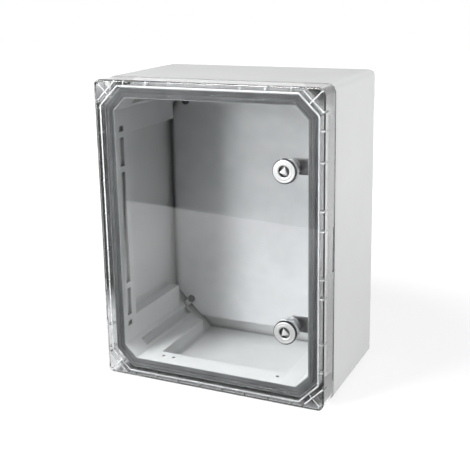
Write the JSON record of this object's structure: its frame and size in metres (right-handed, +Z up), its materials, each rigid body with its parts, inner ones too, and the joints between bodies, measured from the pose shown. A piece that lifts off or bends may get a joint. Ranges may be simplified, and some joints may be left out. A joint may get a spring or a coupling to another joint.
{
  "type": "plastic electrical cabinet",
  "caption": "Light grey moulded wall cabinet with a clear hinged tray door, quarter-turn triangle-key locks, a foam rim seal and a bare mounting plate inside.",
  "frame": {"origin": "middle of the footprint on the surface that the cabinet stands on, with the lock heads counted in the depth", "axes": "+Z up, +Y from the door to the wall, +X toward the locks, to the right seen from the front"},
  "size_m": [0.31, 0.206, 0.4],
  "materials": {
    "body_plastic": "fine satin texture",
    "plate_steel": "zinc-plated, dull",
    "dark_screw_steel": "dark zinc",
    "gasket_foam": "closed-cell foam skin",
    "bright_steel": "bright zinc",
    "clear_plastic": "clear polished polycarbonate",
    "lock_chrome": "satin chrome",
    "seal_rubber": "matt black"
  },
  "bodies": {
    "cabinet": {"enclosure_body": "body_plastic", "mounting_plate": "plate_steel", "plate_screws": "dark_screw_steel", "rim_gasket": "gasket_foam", "upper_hinge_pin": "bright_steel", "lower_hinge_pin": "bright_steel"},
    "door": {"door": "clear_plastic", "upper_lock_housing": "lock_chrome", "lower_lock_housing": "lock_chrome", "upper_lock_seal": "seal_rubber", "lower_lock_seal": "seal_rubber", "upper_lock_nut": "bright_steel", "lower_lock_nut": "bright_steel"},
    "upper_latch": {"upper_lock_core": "lock_chrome", "upper_lock_cam": "plate_steel", "upper_cam_washer": "bright_steel", "upper_cam_screw": "bright_steel"},
    "lower_latch": {"lower_lock_core": "lock_chrome", "lower_lock_cam": "plate_steel", "lower_cam_washer": "bright_steel", "lower_cam_screw": "bright_steel"}
  },
  "joints": [
    {"name": "door_swing", "type": "hinge", "parent": "cabinet", "child": "door", "pos_m": [-0.1499, -0.0655, 0.2], "axis": [0, 0, -1], "range_deg": [0, 110]},
    {"name": "upper_lock_turn", "type": "hinge", "parent": "door", "child": "upper_latch", "pos_m": [0.106, -0.07, 0.3005], "axis": [0, -1, 0], "range_deg": [0, 90]},
    {"name": "lower_lock_turn", "type": "hinge", "parent": "door", "child": "lower_latch", "pos_m": [0.106, -0.07, 0.0995], "axis": [0, -1, 0], "range_deg": [0, 90]}
  ]
}
